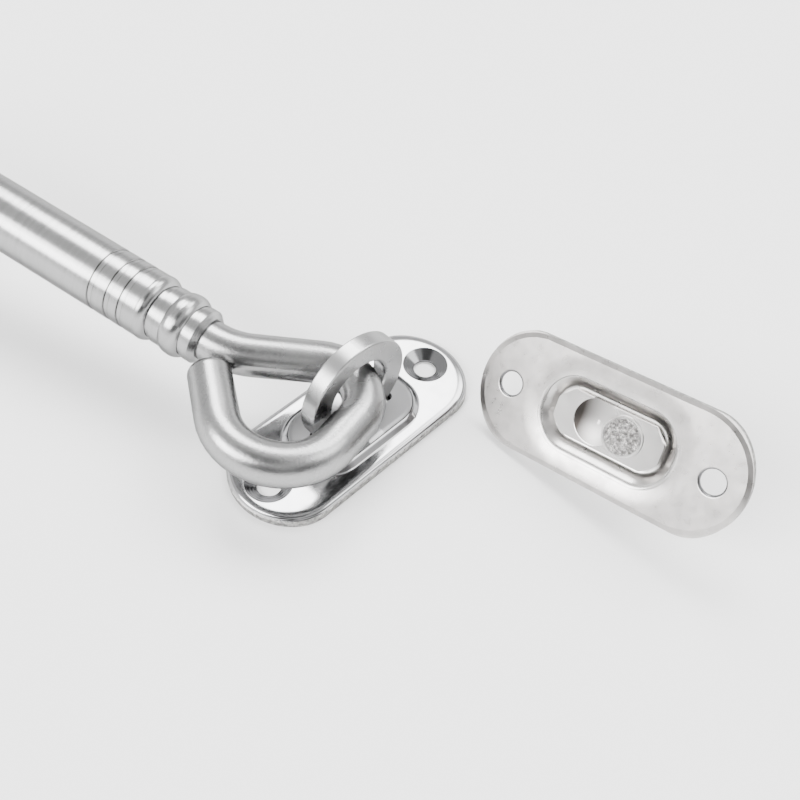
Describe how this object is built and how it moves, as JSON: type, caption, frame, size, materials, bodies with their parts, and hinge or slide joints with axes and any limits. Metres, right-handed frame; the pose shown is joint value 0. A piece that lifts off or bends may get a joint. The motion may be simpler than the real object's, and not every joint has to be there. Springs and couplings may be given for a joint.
{
  "type": "hook latch",
  "caption": "Metal gate hook: a bent bar in a turned sleeve, captive on a loose eye in its pivot plate, with a matching loose keeper plate and eye.",
  "frame": {"origin": "middle of the pivot plate's back, halfway between its two screw holes, in the plane it is screwed down on", "axes": "+Z out of the pivot plate's front; +Y along the pivot plate; the arm runs towards -X and the keeper plate stands at +X"},
  "size_m": [0.214, 0.0909, 0.0356],
  "materials": {
    "polished_plate": "mirror polished stainless steel, sheared edges left rough",
    "polished_eye": "cast stainless steel, polished",
    "bar": "ground and lightly polished round bar",
    "turned_sleeve": "fine turned",
    "keeper_pressing": "satin back of the pressing",
    "keeper_casting": "tumbled casting"
  },
  "bodies": {
    "pivot_plate": {"pivot_plate": "polished_plate"},
    "pivot_eye": {"pivot_eye": "polished_eye"},
    "arm": {"hook_bar": "bar", "sleeve": "turned_sleeve"},
    "keeper_plate": {"keeper_plate": "keeper_pressing"},
    "keeper_eye": {"keeper_eye": "keeper_casting"}
  },
  "joints": [
    {"name": "pivot_eye_rock", "type": "hinge", "parent": "pivot_plate", "child": "pivot_eye", "pos_m": [0, 0, 0.00275], "axis": [0, 1, 0], "range_deg": [0, 3]},
    {"name": "arm_swing", "type": "hinge", "parent": "pivot_eye", "child": "arm", "pos_m": [-0.004, -0.009, 0.0118], "axis": [0, 0, 1], "range_deg": [-60, 80]},
    {"name": "keeper_lift", "type": "slide", "parent": "pivot_plate", "child": "keeper_plate", "axis": [0, 0, 1], "range_m": [0, 0.1]},
    {"name": "keeper_eye_rock", "type": "hinge", "parent": "keeper_plate", "child": "keeper_eye", "pos_m": [0.03868, 0.0273, 0.01247], "axis": [0.9799, 0.0738, 0.1851], "range_deg": [0, 3]}
  ]
}
